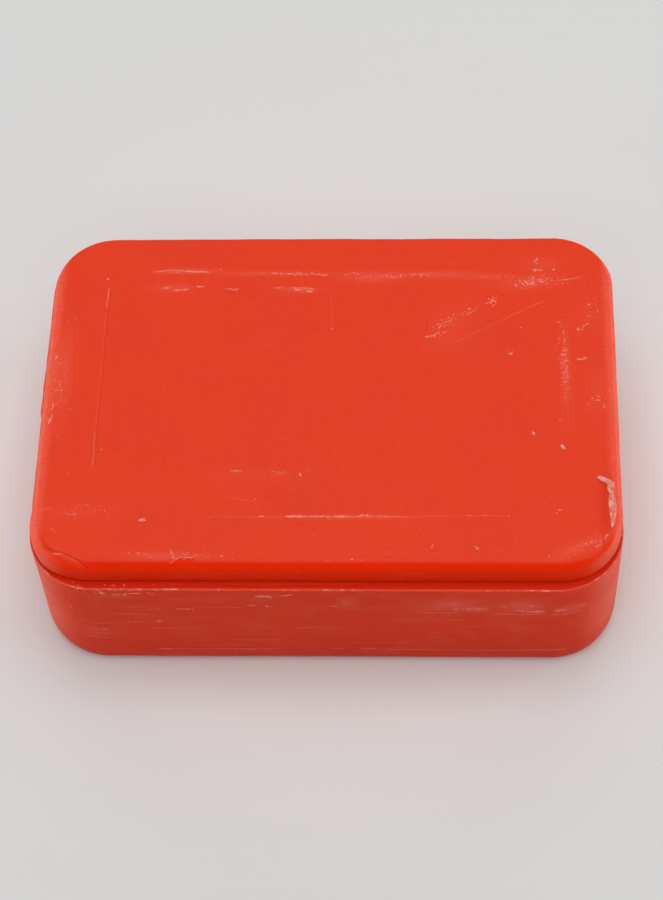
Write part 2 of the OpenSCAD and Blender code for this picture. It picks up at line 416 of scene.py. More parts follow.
def patches(plan, marks):
    """Density of fine specks, highest in the middle of each patch."""
    total = np.zeros(len(plan))
    for x, y, length, width, turn, density in marks:
        c, s = math.cos(math.radians(turn)), math.sin(math.radians(turn))
        off = plan - (x, y)
        p, q = off @ (c, s) / length, off @ (-s, c) / width
        total = np.maximum(total, density * bell(np.hypot(p, q), 0.9))
    return total


def grooves(plan, marks):
    """Height of the surface where grooves cut in, with a low lip beside each."""
    relief = np.zeros(len(plan))
    for x0, y0, x1, y1, width, depth in marks:
        t, distance, side = along(plan, (x0, y0), (x1, y1))
        ends = smooth(t, -0.02, 0.06) * smooth(-t, -1.02, -0.94)
        relief += ends * depth * (0.45 * bell(side - 1.7 * width, width) - bell(distance, width))
    return relief


# ------------------------ the upper slab

def slab_rings(outline):
    """Rings down from the slab's top face: its rounded edge, its side and its tucked foot."""
    top, foot = outline.top, outline.bottom
    rings = [(TOP_ROUND * sine, top - TOP_ROUND * cosine, 90 - turn)
             for turn, sine, cosine in quarter_turn(8)]
    sides = np.linspace(top - TOP_ROUND, foot + TUCK_HEIGHT, 11)[1:]
    rings += [(0.0, z, 0.0) for z in sides]
    rings += [(TUCK * cosine, foot + TUCK_HEIGHT * sine, -TUCK_TILT * turn / 90)
              for turn, sine, cosine in quarter_turn(4)[1:]]
    return rings


def sculpt_slab(points, normals, outline):
    """Moves the slab's points out and in for wear and tears. Returns them and the masks."""
    plan = points[:, :2] - outline.centre
    x, y = plan.T
    upward = np.clip(normals[:, 2], 0, 1)
    on_top = smooth(upward, 0.3, 0.9)
    sideways = 1 - upward
    foot = smooth(points[:, 2] - outline.bottom, 0.0, 0.3)

    relief = 0.05 * fractal(points, 17.0, 3) + 0.012 * fractal(points, 2.6, 5)
    relief += sideways * (0.07 * fractal(points, (9, 9, 4), 11) + 0.02 * fractal(points, 1.4, 12))
    scuff_and_highlight = strokes(plan, TOP_SCUFFS, 40) * on_top
    speck = patches(plan, TOP_SPECKS) * on_top
    # painted shade: this mask darkens the clay where shade falls in creases, hollows and along the front
    # rounding
    painted_shade_and_mottle = np.zeros(len(points))

    relief += on_top * (grooves(plan, TOP_GROOVES) + 0.025 * scuff_and_highlight)
    relief += on_top * speck * 0.02 * noise(points, 0.4, 17)

    # the front left corner was pushed out over the ledge
    turn = np.degrees(np.arctan2(-(y + outline.half[1] - outline.corner),
                                 -(x + outline.half[0] - outline.corner)))
    pushed = bell(turn - 36, 30) * (x < -28) * (y < -14)
    relief += PUSHED_OUT * pushed * smooth(sideways, 0.1, 0.8) * (0.6 + 0.4 * foot)

    # the fold: a dark crease with a low lobe outside it; the crease's darkness is painted shade and the
    # lobe carries a painted highlight
    distance, side, share = to_path(plan, FOLD)
    ends = smooth(share, 0.0, 0.2) * smooth(-share, -1.0, -0.7) * smooth(upward, 0.05, 0.5)
    outside = np.clip(-side, 0, None)
    relief -= ends * FOLD_DEPTH * bell(distance, 0.13)
    relief += ends * 0.014 * bell(outside - 0.35, 0.3) * (side < 0)
    relief -= ends * 0.02 * bell(side - 0.3, 0.35) * (side > 0)
    painted_shade_and_mottle = np.maximum(painted_shade_and_mottle, 0.5 * ends * bell(distance, 0.14))
    scuff_and_highlight = np.maximum(scuff_and_highlight, 0.2 * ends * bell(outside - 0.25, 0.12) * (side < 0))

    # the nick: torn lip above, hollow below; the hollow is darkened with painted shade
    middle = (NICK_LEFT + NICK_RIGHT) / 2
    across = (x - middle) / ((NICK_RIGHT - NICK_LEFT) / 2)
    torn_line = 0.12 * noise(points, (0.5, 3, 3), 91) + 0.16 * noise(points, (1.3, 5, 5), 92)
    lip = 0.65 + 0.95 * smooth(across, -1.0, -0.05)
    off_edge = y + outline.half[1] - lip - 0.7 * torn_line
    in_nick = smooth(-np.abs(across), -1.05, -0.85) * (points[:, 1] < 0) * smooth(upward, 0.2, 0.6)
    relief -= in_nick * NICK_DEPTH * smooth(-off_edge, -0.1, 0.1) * bell(off_edge + 0.35, 0.6)
    relief += in_nick * NICK_LIP * bell(off_edge - 0.12, 0.14)
    scuff_and_highlight = np.maximum(scuff_and_highlight, in_nick * 0.8 * bell(off_edge - 0.08, 0.12))
    painted_shade_and_mottle = np.maximum(painted_shade_and_mottle, 0.4 * in_nick * bell(off_edge + 0.14, 0.15))

    # scraped hollow along the right rim, where the shaving came from, darkened inside with painted shade
    rim_in = outline.half[0] - x
    scraped = smooth(y, -25.5, -23.5) * smooth(-y, 12.2, 14.5)
    relief -= SCRAPE_DEPTH * scraped * bell(rim_in - SCRAPE_INSET, 0.8) * on_top
    painted_shade_and_mottle = np.maximum(painted_shade_and_mottle, 0.25 * scraped * bell(rim_in - SCRAPE_INSET, 0.9) * on_top)

    # the left and right edges are worn softer than the front one
    worn = smooth(np.abs(x) - outline.half[0], -2.2, -0.7) * on_top
    relief -= WORN_EDGE * worn * smooth(-np.abs(y), -27.0, -22.0)

    # small dents along the rounded edge
    relief -= sideways * foot * DENT_DEPTH * smooth(fractal(points, (2.2, 2.2, 1.2), 23), 0.55, 1.2)
    edge_specks = smooth(fractal(points, (0.9, 0.9, 0.5), 29), 0.75, 1.2) * bell(upward - 0.6, 0.35)
    speck = np.maximum(speck, 0.35 * edge_specks)
    relief *= 0.25 + 0.75 * foot

    # painted shade: deep, saturated red where the front edge rounds over away from the light and catches
    # no sheen, on the slab's sides and in the nick, with a darker band painted along the front rounding
    edge_in, faces_front = in_from_edge(points[:, :2], outline)
    front_part = smooth(faces_front, 0.8, 1.0) * smooth(x, -36.0, -32.5)
    edge_shade = front_part * smooth(-edge_in, -1.35, -0.55)
    painted_shade_and_mottle = np.maximum(painted_shade_and_mottle, 0.5 * front_part * bell(edge_in - 0.72, 0.36) * smooth(upward, 0.3, 0.8))
    edge_shade = np.maximum(edge_shade, in_nick * smooth(-off_edge, -0.05, 0.15))
    painted_edge_shade = np.maximum(0.8 * smooth(sideways, 0.25, 0.8), edge_shade * smooth(upward, 0.0, 0.5))

    # painted sheen and highlights: a thin whitish sheen painted on the flat top, stronger painted
    # highlights on the left and right sides and edges; the TOP_FILMS patches are pale films on the clay
    film_and_sheen = 0.18 * smooth(upward, 0.97, 1.0) * (1 - edge_shade) + on_top * patches(plan, TOP_FILMS)
    film_and_sheen += 0.12 * ends * bell(outside - 0.4, 0.3) * (side < 0)
    rim_highlight = smooth(np.abs(x) - outline.half[0], -2.2, -0.4)
    rim_highlight *= smooth(-np.abs(y), -28.0, -23.0) * smooth(upward, 0.1, 0.5)
    film_and_sheen += 0.62 * rim_highlight + 0.8 * smooth(np.abs(normals[:, 0]), 0.3, 0.85)
    haze = 0.2 * smooth(sideways, 0.6, 1.0) * smooth(fractal(points, 6.0, 61), -0.8, 0.8)
    masks = {"scuff_and_highlight": scuff_and_highlight, "speck": speck, "haze": haze, "film_and_sheen": film_and_sheen, "painted_shade_and_mottle": painted_shade_and_mottle, "painted_edge_shade": painted_edge_shade}
    return points + normals * relief[:, None], masks


def build_slab():
    outline = Outline("upper_slab", SLAB_CORNER)
    xs = grid_lines(outline.half[0], SLAB_PITCH,
                    [(-37.0, 3.6, FINE), (-33.7, 0.5, 0.13), (-20.0, 2.2, 0.18), (34.4, 0.8, 0.2),
                     (40.4, 1.0, 0.2)])
    ys = grid_lines(outline.half[1], SLAB_PITCH,
                    [(-27.6, 1.6, FINE), (-20.4, 0.5, FINE), (22.0, 0.6, FINE), (19.0, 0.5, 0.18)])
    points, normals, faces = shell(outline, xs, ys, slab_rings(outline), True)
    points, masks = sculpt_slab(points, normals, outline)
    return make_mesh("waxy_slab", points, faces, masks)


# ------------------------ the lower block

# Scuffs on the front face, mm: x from the middle, z above the floor, as for the top face.
FRONT_SCUFFS = [
    (-9.4, 20.7, -7.4, 20.6, 0.35, 0.8), (-6, 21, -4.6, 21.3, 0.25, 0.55),
    (-10.8, 17.9, -9.5, 17.8, 0.22, 0.6), (-8.4, 17.8, -7.4, 17.7, 0.22, 0.6),
    (-31.9, 22.4, -31.3, 21.3, 0.25, 0.6), (-30.1, 21.2, -28, 21, 0.3, 0.55),
    (-27.4, 21.6, -26, 21.4, 0.25, 0.5), (-31, 18.2, -29.2, 18, 0.2, 0.35),
    (-36.9, 17, -36.6, 15.2, 0.4, 0.35), (-36, 12.5, -32.5, 12, 0.2, 0.3),
    (-35.6, 10.4, -31.8, 10.2, 0.3, 0.38), (-34.6, 9.2, -31.2, 9, 0.25, 0.38),
    (-34.8, 7.8, -32, 7.7, 0.22, 0.4), (-28.5, 14, -26.4, 13.9, 0.18, 0.3),
    (-28.6, 12.8, -26.3, 12.7, 0.18, 0.3), (-24.6, 13, -23.7, 13, 0.24, 0.65),
    (-25.6, 16.8, -23.6, 16.6, 0.2, 0.35), (-21.2, 16.9, -19, 16.6, 0.25, 0.4),
    (-19, 17.5, -12, 17.4, 0.16, 0.25), (-4.2, 11.1, 2.2, 11, 0.16, 0.35),
    (1, 17.9, 1.8, 18, 0.26, 0.55), (2, 20.6, 4.6, 17, 0.9, 0.2), (3.2, 20.4, 4.9, 20, 0.4, 0.22),
    (15.2, 10, 16.6, 9.9, 0.14, 0.45), (27, 10.4, 27.8, 10.5, 0.16, 0.5), (27.2, 9, 28.2, 9, 0.12, 0.3),
    # plain smears in a band towards the right
    (13.2, 17, 17, 17, 0.5, 0.3), (16, 18.8, 22.5, 19.2, 0.4, 0.3), (18.6, 17.2, 23.2, 17, 0.55, 0.38),
    (25.2, 17.8, 30.8, 18.4, 0.45, 0.34), (27.6, 16.6, 31, 16.4, 0.5, 0.45),
    (24, 15.7, 30.5, 15.6, 0.14, 0.4), (33, 16.9, 37.4, 17.2, 0.55, 0.42),
    (32.4, 15.6, 36.6, 15.5, 0.16, 0.4), (13, 16, 19, 15.9, 0.12, 0.45),
]

# Soft pale smears on the front face, as for the films on the top face.
FRONT_SMEARS = [
    (18, 18.4, 4.6, 2, 4, 0.55), (21, 17.2, 2.8, 1.3, 0, 0.6), (28, 18, 3.4, 2.2, 0, 0.55),
    (29.5, 16.8, 2.4, 1.1, 0, 0.5), (35, 17, 2.8, 1.4, -4, 0.5), (3.2, 18.8, 1.8, 2, -30, 0.45),
    (-8.2, 20.7, 1.6, 0.6, 0, 0.4), (-33.5, 9.2, 3, 2.2, 0, 0.25), (-30, 20.5, 4, 0.9, 0, 0.3),
    (-38, 15, 1.2, 2.4, 0, 0.3), (-24, 14.6, 3.4, 2.6, 0, 0.12),
]


def block_rings(outline):
    """Rings up from the block's underside: its soft bottom edge, its side, its rim, its top."""
    top = outline.top
    rings = [(BASE_SOFT_DEPTH * sine, outline.bottom + BASE_SOFT_HEIGHT * cosine, turn - 90)
             for turn, sine, cosine in quarter_turn(12)]
    sides = np.linspace(outline.bottom + BASE_SOFT_HEIGHT, top - 1.0, 58)[1:]
    rings += [(0.0, z, 0.0) for z in sides]
    rings += [(0.0, top - drop, 0.0) for drop in (0.78, 0.58, 0.42, 0.3, 0.22)]
    rings += [(RIM_BEVEL * cosine, top - RIM_BEVEL * sine, turn)
              for turn, sine, cosine in quarter_turn(4)]
    insets = (0.2, 0.27, 0.35, 0.45, 0.57, 0.7, 0.83, 0.96, 1.1, 1.25, 1.42, 1.65, 2.0, UNDERLAP)
    return rings + [(inset, top, 90.0) for inset in insets]


def sculpt_block(points, normals, outline, slab):
    """As sculpt_slab, for the block. slab is the outline of the slab that stands on it."""
    x, y = (points[:, :2] - outline.centre).T
    z = points[:, 2]
    upward = np.clip(normals[:, 2], 0, 1)
    side = 1 - np.abs(normals[:, 2])
    below_rim = outline.top - z
    front = smooth(-normals[:, 1], 0.75, 0.95)

    # how far a point on the ledge is from the rim and from the slab's wall
    from_rim = in_from_edge(points[:, :2], outline)[0]
    to_wall = -in_from_edge(points[:, :2], slab)[0]
    ledge = upward * smooth(to_wall, 0.05, 0.35)

    relief = 0.05 * fractal(points, (20, 20, 12), 7)
    relief += side * 0.016 * fractal(points, (3, 3, 1.2), 9)
    drag = fractal(points, (9.0, 9.0, 0.5), 13, 2)
    relief += side * 0.014 * drag
    scuff_and_highlight = np.zeros(len(points))
    speck = np.zeros(len(points))

    # pale burr along the rim: a low ragged lip, scuffed pale, with a painted highlight along the rim's
    # edge
    ragged = 0.6 + 0.4 * noise(points, (0.7, 0.7, 3), 19) + 0.3 * noise(points, (2.4, 2.4, 9), 20)
    burr = bell(from_rim - 0.1, 0.14) * upward + bell(below_rim - 0.04, 0.14) * (1 - upward)
    burr *= np.clip(side + upward, 0, 1) * (z > outline.bottom + BASE_SOFT_HEIGHT)
    lift = BURR_HEIGHT * burr * np.clip(ragged, 0.15, 1.2)
    worn_burr = 0.35 * bell(x + 28, 9) * (points[:, 1] < 0)
    scuff_and_highlight = np.maximum(scuff_and_highlight, (0.8 + worn_burr) * burr * smooth(ragged, 0.35, 0.95))
    film_and_sheen = (0.85 + worn_burr) * burr

    # left rim: a torn sliver of flash stands out behind the middle
    torn = smooth(y, -1.7, -1.3) * smooth(-y, -14.0, -3.0) * (x < 0)
    torn *= 0.5 + 0.5 * smooth(noise(points, (0.8, 0.8, 5), 33), -0.6, 0.6)
    flash = FLASH_REACH * torn * bell(below_rim - 0.1, 0.22) * side
    film_and_sheen = np.maximum(film_and_sheen, 0.8 * torn * bell(below_rim - 0.1, 0.4))

    # the ledge: uneven, with a second ragged seam along the left half of the front
    relief += ledge * (0.03 * fractal(points, (3.0, 0.5, 3.0), 27) - 0.02)
    seam_gap = np.abs(to_wall - SEAM_OUT - 0.1 * noise(points, (4, 4, 4), 28))
    seam = (points[:, 1] < 0) * ledge * bell(seam_gap, 0.09)
    seam *= smooth(x, -24, -18) * smooth(-x, -12, 4)
    relief -= SEAM_DEPTH * seam
    # painted shade: the seam, the ledge and the foot of the slab's wall are darkened, and the block's
    # sides are painted darker towards the floor
    painted_shade_and_mottle = 0.7 * seam + 0.8 * upward + 0.2 * bell(to_wall, 0.3) * upward
    painted_shade_and_mottle *= 1 - 0.5 * np.clip(burr, 0, 1)
    painted_shade_and_mottle += 0.35 * side * smooth(-z, -12.0, -3.0)
    painted_shade_and_mottle += 0.6 * smooth(-z, -4.0, -0.3) * smooth(side, 0.0, 0.3)

    # crumbled clay on the ledge and under the rim, on the left of the front
    crumbled = smooth(fractal(points, (0.5, 0.5, 0.4), 37), 0.1, 0.8) * (points[:, 1] < 0)
    crumbled *= bell(x + 29, 11) * bell(below_rim - 0.6, 1.2) * np.clip(side + ledge, 0, 1)
    relief += CRUMBLE_HEIGHT * crumbled
    scuff_and_highlight = np.maximum(scuff_and_highlight, 0.75 * crumbled)

    # front face: scuffs, drag streaks and a painted highlight along the line above the soft bottom edge,
    # where the face turns under
    face = np.column_stack([x, z])
    scuff_and_highlight = np.maximum(scuff_and_highlight, 1.5 * front * strokes(face, FRONT_SCUFFS, 400))
    relief += 0.03 * scuff_and_highlight * front
    line_z = BASE_SOFT_HEIGHT - 0.1 + 0.12 * noise(points, (5, 5, 50), 35)
    painted_edge_highlight = bell(z - line_z, 0.16) * side
    painted_edge_highlight *= smooth(noise(points, (4.0, 4.0, 50), 36), -0.5, 0.6)
    relief += 0.03 * painted_edge_highlight
    scuff_and_highlight = np.maximum(scuff_and_highlight, 0.55 * painted_edge_highlight)

    # scattered knocks and streaks on the other faces, as on the front
    other = side * (1 - front)
    knocks = smooth(fractal(points, (2.6, 2.6, 0.9), 43), 0.62, 1.15) * other
    scuff_and_highlight = np.maximum(scuff_and_highlight, 0.65 * knocks)
    relief += 0.02 * knocks
    underside = smooth(-normals[:, 2], 0.8, 1.0)
    rubbed = smooth(fractal(points, (7.0, 1.2, 4.0), 47), 0.5, 1.1) * underside
    scuff_and_highlight = np.maximum(scuff_and_highlight, 0.4 * rubbed)
    film_and_sheen = np.maximum(film_and_sheen, 0.3 * underside * bell(from_rim - 4.5, 2.0))

    # the bloom: dust on the sides, most to the left, smears on the front and a film elsewhere; the left
    # and right faces also get a painted sheen, strongest high up on the left
    left_dust = 0.35 + 0.65 * smooth(-x, -25, 38)
    haze = side * (0.08 + 0.7 * smooth(drag, 0.0, 1.1)) * left_dust + 0.15 * underside
    film_and_sheen = np.maximum(film_and_sheen, front * patches(face, FRONT_SMEARS))
    film_and_sheen = np.maximum(film_and_sheen, 0.42 * other * smooth(fractal(points, (5.0, 5.0, 1.2), 57), 0.4, 1.3))
    uneven = 1 + 0.25 * fractal(points, (7.0, 7.0, 2.5), 58)
    side_sheen = 0.6 + 0.2 * smooth(-x, 25.0, 38.0) * bell(below_rim, 9.0)
    film_and_sheen = np.maximum(film_and_sheen, side_sheen * smooth(np.abs(normals[:, 0]), 0.3, 0.9) * uneven)
    film_and_sheen = np.maximum(film_and_sheen, 0.16 * side * smooth(fractal(points, (3.0, 3.0, 2.2), 59), -0.2, 0.9))
    speck = np.maximum(speck, 0.12 * side * smooth(fractal(points, (4.0, 4.0, 1.5), 53), 0.2, 1.0))
    moved = points + normals * (relief + flash)[:, None]
    moved[:, 2] += lift
    moved[:, 2] = np.maximum(moved[:, 2], outline.bottom)
    return moved, {"scuff_and_highlight": scuff_and_highlight, "speck": speck, "haze": haze, "film_and_sheen": film_and_sheen, "painted_shade_and_mottle": painted_shade_and_mottle}


def build_block():
    outline = Outline("lower_block", BLOCK_CORNER)
    slab = Outline("upper_slab", SLAB_CORNER)
    xs = grid_lines(outline.half[0], BLOCK_PITCH)
    ys = grid_lines(outline.half[1], BLOCK_PITCH)
    points, normals, faces = shell(outline, xs, ys, block_rings(outline), False)
    points, masks = sculpt_block(points, normals, outline, slab)
    return make_mesh("bloomed_block", points, faces, masks)


# ------------------------ shaving and crumbs

def cad_islands(node):
    """Lowest and highest corner, in mm, of each separate solid in a CAD node."""
    mesh = bpy.data.objects[node].data
    parent = list(range(len(mesh.vertices)))

    def root(i):
        while parent[i] != i:
            parent[i] = parent[parent[i]]
            i = parent[i]
        return i

    places = {}
    spots = [tuple(round(c / MM, 3) for c in v.co) for v in mesh.vertices]
    for i, spot in enumerate(spots):
        parent[i] = places.setdefault(spot, i)
    for edge in mesh.edges:
        a, b = root(edge.vertices[0]), root(edge.vertices[1])
        parent[max(a, b)] = min(a, b)
    groups = {}
    for i, spot in enumerate(spots):
        groups.setdefault(root(i), []).append(spot)
    boxes = [(np.min(g, axis=0), np.max(g, axis=0)) for g in groups.values()]
    return sorted(boxes, key=lambda b: tuple(b[0]))


def build_crumbs():
    """Each crumb is a ragged little lump, flattened where it sticks."""
    points, faces = [], []
    bpy.ops.mesh.primitive_ico_sphere_add(subdivisions=4, radius=1.0)
    ball = bpy.context.object
    base = np.array([v.co[:] for v in ball.data.vertices])
    rounds = [list(f.vertices) for f in ball.data.polygons]
    bpy.data.objects.remove(ball)
    for k, (low, high) in enumerate(cad_islands("crumbs")):
        radius = (high[0] - low[0]) / 2
        rise = high[2] - low[2]
        turn = 2.4 * k
        on_ledge = low[2] < box_mm("upper_slab")[1][2] - 1
        size = (0.62 + 0.2 * math.sin(5.1 * k)) * (0.6 if on_ledge else 1)
        shape = base * (1.2 * size, 0.75 * size, 0.8)
        shape = shape * (1 + 0.28 * fractal(base + 7.7 * k, 0.9, 71, 3))[:, None]
        c, s = math.cos(turn), math.sin(turn)
        shape = np.column_stack([shape[:, 0] * c - shape[:, 1] * s,
                                 shape[:, 0] * s + shape[:, 1] * c, shape[:, 2]])
        lump = shape * (radius, radius, rise * 0.75)
        lump += ((low[0] + high[0]) / 2, (low[1] + high[1]) / 2, low[2] + 0.3 * rise)
        lump[:, 2] = np.maximum(lump[:, 2], low[2] - CRUMB_UNDER)
        faces += [[i + len(base) * k for i in f] for f in rounds]
        points.append(lump)
    points = np.concatenate(points)
    return make_mesh("crumb_bits", points, faces, {"scuff_and_highlight": 0.4 + 0.5 * noise(points, 0.5, 73)})


def build_shaving():
    """A thin ragged ribbon along the slab's right rim, near the front right corner."""
    slab = Outline("upper_slab", SLAB_CORNER)
    low, high = box_mm("edge_flake")
    steps, across = 120, 14
    share = np.linspace(0, 1, steps)
    y = low[1] + (high[1] + 0.45 - low[1]) * share
    core = slab.half - slab.corner
    past = np.clip(-(y - slab.centre[1]) - core[1], 0, slab.corner)
    rim_x = slab.centre[0] + core[0] + np.sqrt(slab.corner ** 2 - past ** 2)
    spots = np.column_stack([share * 10, np.zeros(steps), np.zeros(steps)])
    middle_in = SHAVING_INSET + 0.1 * noise(spots, 1.5, 81) + 1.5 * smooth(share, 0.84, 1.0)
    half = SHAVING_HALF * (0.74 + 0.3 * noise(spots, 1.1, 82)) * (0.35 + 0.65 * smooth(share, 0.0, 0.35))
    half *= smooth(share, -0.05, 0.06) * smooth(-share, -1.02, -0.97)
    half = np.maximum(half * (1 + 0.9 * smooth(share, 0.8, 0.92)), 0.04)
    points = []
    for raised in (True, False):
        for r in np.linspace(-1, 1, across + 1):
            inset = middle_in + half * r
            past_edge = np.clip(TOP_ROUND - inset, 0, TOP_ROUND)
            drop = TOP_ROUND - np.sqrt(np.maximum(TOP_ROUND ** 2 - past_edge ** 2, 0))
            place = np.column_stack([rim_x - inset, y, np.full(steps, slab.top) - drop])
            if raised:
                uneven = 0.7 + 0.5 * noise(place, (0.5, 0.4, 9), 83)
                uneven += 0.35 * noise(place, (1.2, 1.1, 9), 84)
                bulge = SHAVING_THICK * (1 - r * r) ** 0.5
                place[:, 2] += 0.05 + bulge * np.clip(uneven, 0.1, 1.3)
            else:
                place[:, 2] -= SHAVING_UNDER
            points.append(place)

    # rows of quads round the ribbon, then the quads that close its two ends
    width = across + 1
    loop = [*range(width), *range(2 * width - 1, width - 1, -1), 0]
    faces = [[a * steps + j, a * steps + j + 1, b * steps + j + 1, b * steps + j]
             for a, b in zip(loop, loop[1:]) for j in range(steps - 1)]
    for i in range(across):
        a, b = i * steps, (i + width) * steps
        near_end = [a, a + steps, b + steps, b]
        faces.append(near_end)
        faces.append([corner + steps - 1 for corner in reversed(near_end)])
    points = np.concatenate(points)
    masks = {
        "scuff_and_highlight": 0.5 + 0.5 * noise(points, 0.8, 85),
        # red mottling on the shaving, carried in the same mask as the painted shade
        "painted_shade_and_mottle": 0.7 * smooth(noise(points, (0.6, 0.5, 9), 86), 0.0, 0.8),
    }
    return make_mesh("shaving", points, faces, masks)


# ------------------------ materials

BODY = (0.83, 0.036, 0.001, 1)
# DEEP is the darker mottle of the clay and the colour of its painted shade
DEEP = (0.60, 0.013, 0.0006, 1)
# painted shade colour: the saturated red of edges and sides that turn from the light
SHADED_EDGE_RED = (0.97, 0.026, 0.0005, 1)
# colour of the painted shade lines in creases
CREASE_SHADE = (0.52, 0.011, 0.0008, 1)
# HAZE is the whitish colour of the bloom and of the painted sheen; PALE that of scrapes and of the
# painted highlights
HAZE = (0.90, 0.145, 0.088, 1)
PALE = (0.92, 0.27, 0.19, 1)
SHAVED = (0.97, 0.22, 0.16, 1)
SHAVED_HAZE = (0.97, 0.3, 0.24, 1)
SHAVED_PALE = (0.98, 0.39, 0.33, 1)
FLOOR_TONES = ((0.74, 0.74, 0.73, 1), (0.76, 0.76, 0.75, 1))

# How fine each noise in the clay is, per metre.
MOTTLE = 75
SWELL = 420
CLUMPS = 1300
GRAIN = 2300
DOTS = 2900
FINE_GRAIN = 6500
WANDER = 450              # for the straying of the thin lines

LINE_WANDER = 0.0004      # the thin lines stray across a band this wide, metres
FRONT_LIMIT = -0.029      # the front lines stay in front of this place along Y, metres


class Tree:
    """A material's node tree, with short ways to add nodes to it."""

    def __init__(self, name):
        self.material = bpy.data.materials.new(name)
        self.material.use_nodes = True
        self.nodes = self.material.node_tree.nodes
        self.links = self.material.node_tree.links
        self.shader = self.nodes["Principled BSDF"]
        self.coords = self.nodes.new("ShaderNodeTexCoord").outputs["Object"]

    def put(self, socket, value):
        """Links a socket or sets a plain value."""
        if isinstance(value, bpy.types.NodeSocket):
            self.links.new(value, socket)
        else:
            socket.default_value = value

    def math(self, kind, a, b=0.0, clamp=False):
        node = self.nodes.new("ShaderNodeMath")
        node.operation, node.use_clamp = kind, clamp
        self.put(node.inputs[0], a)
        self.put(node.inputs[1], b)
        return node.outputs[0]

    def times(self, a, b):
        return self.math("MULTIPLY", a, b)

    def vector(self, kind, a, b, output="Vector"):
        node = self.nodes.new("ShaderNodeVectorMath")
        node.operation = kind
        self.put(node.inputs[0], a)
        self.put(node.inputs[1], b)
        return node.outputs[output]

    def dot(self, vector, axis):
        return self.vector("DOT_PRODUCT", vector, axis, "Value")

    def line(self, place, plane, start, end, half, strength):
        """A thin line from start to end, in mm. plane turns a pair into a vector."""
        run = (end[0] - start[0], end[1] - start[1])
        length = math.hypot(*run)
        d = (run[0] / length, run[1] / length)
        n = (-d[1], d[0])
        off = self.dot(place, plane(n[0] / half / MM, n[1] / half / MM))
        off = self.math("SUBTRACT", off, (start[0] * n[0] + start[1] * n[1]) / half)
        far = self.dot(place, plane(d[0] / length / MM, d[1] / length / MM))
        far = self.math("SUBTRACT", far, (start[0] * d[0] + start[1] * d[1]) / length + 0.5)
        body = self.ramp(self.math("ABSOLUTE", off), 1.2, 0.2)
        ends = self.ramp(self.math("ABSOLUTE", far), 0.5, 0.38, 0.0, strength)
        return self.times(body, ends)

    def lines(self, marks, plane):
        """The strongest of several thin lines that wander a little."""
        stray = self.noise(WANDER, 2, 0.5, output="Color")
        stray = self.vector("MULTIPLY", stray, (LINE_WANDER,) * 3)
        stray = self.vector("SUBTRACT", stray, (LINE_WANDER / 2,) * 3)
        place = self.vector("ADD", self.coords, stray)
        total = 0.0
        for x0, y0, x1, y1, half, strength in marks:
            one = self.line(place, plane, (x0, y0), (x1, y1), half, strength)
            total = self.math("MAXIMUM", one, total)
        return total

    def ramp(self, value, low, high, to_low=0.0, to_high=1.0):
        """A soft step from to_low at low to to_high at high."""
        node = self.nodes.new("ShaderNodeMapRange")
        node.interpolation_type = "SMOOTHSTEP"
        for socket, v in zip(node.inputs, (value, low, high, to_low, to_high)):
            self.put(socket, v)
        return node.outputs[0]

    def mask(self, name):
        node = self.nodes.new("ShaderNodeAttribute")
        node.attribute_name = name
        return node.outputs["Fac"]

    def noise(self, scale, detail=3.0, roughness=0.55, coords=None, output="Fac"):
        node = self.nodes.new("ShaderNodeTexNoise")
        self.put(node.inputs["Vector"], coords or self.coords)
        node.inputs["Scale"].default_value = scale
        node.inputs["Detail"].default_value = detail
        node.inputs["Roughness"].default_value = roughness
        return node.outputs[output]

    def mix(self, share, a, b):
        node = self.nodes.new("ShaderNodeMix")
        node.data_type = "RGBA"
        self.put(node.inputs["Factor"], share)
        self.put(node.inputs["A"], a)
        self.put(node.inputs["B"], b)
        return node.outputs["Result"]

    def bump(self, height, distance, strength=1.0, after=None):
        node = self.nodes.new("ShaderNodeBump")
        node.inputs["Strength"].default_value = strength
        node.inputs["Distance"].default_value = distance
        self.put(node.inputs["Height"], height)
        if after is not None:
            self.put(node.inputs["Normal"], after)
        return node.outputs["Normal"]


def top_lines(marks):
    """Draws lines on the top face, given from the middle of the slab."""
    x, y = Outline("upper_slab", SLAB_CORNER).centre
    moved = [(x0 + x, y0 + y, x1 + x, y1 + y, half, strength)
             for x0, y0, x1, y1, half, strength in marks]
    return lambda t: t.lines(moved, lambda a, b: (a, b, 0))


def front_lines(t):
    """Draws the lines on the front face only."""
    drawn = t.lines(FRONT_LINES, lambda x, z: (x, 0, z))
    in_front = t.ramp(t.dot(t.coords, (0, 1, 0)), FRONT_LIMIT + 0.0005, FRONT_LIMIT - 0.0005)
    return t.times(drawn, in_front)


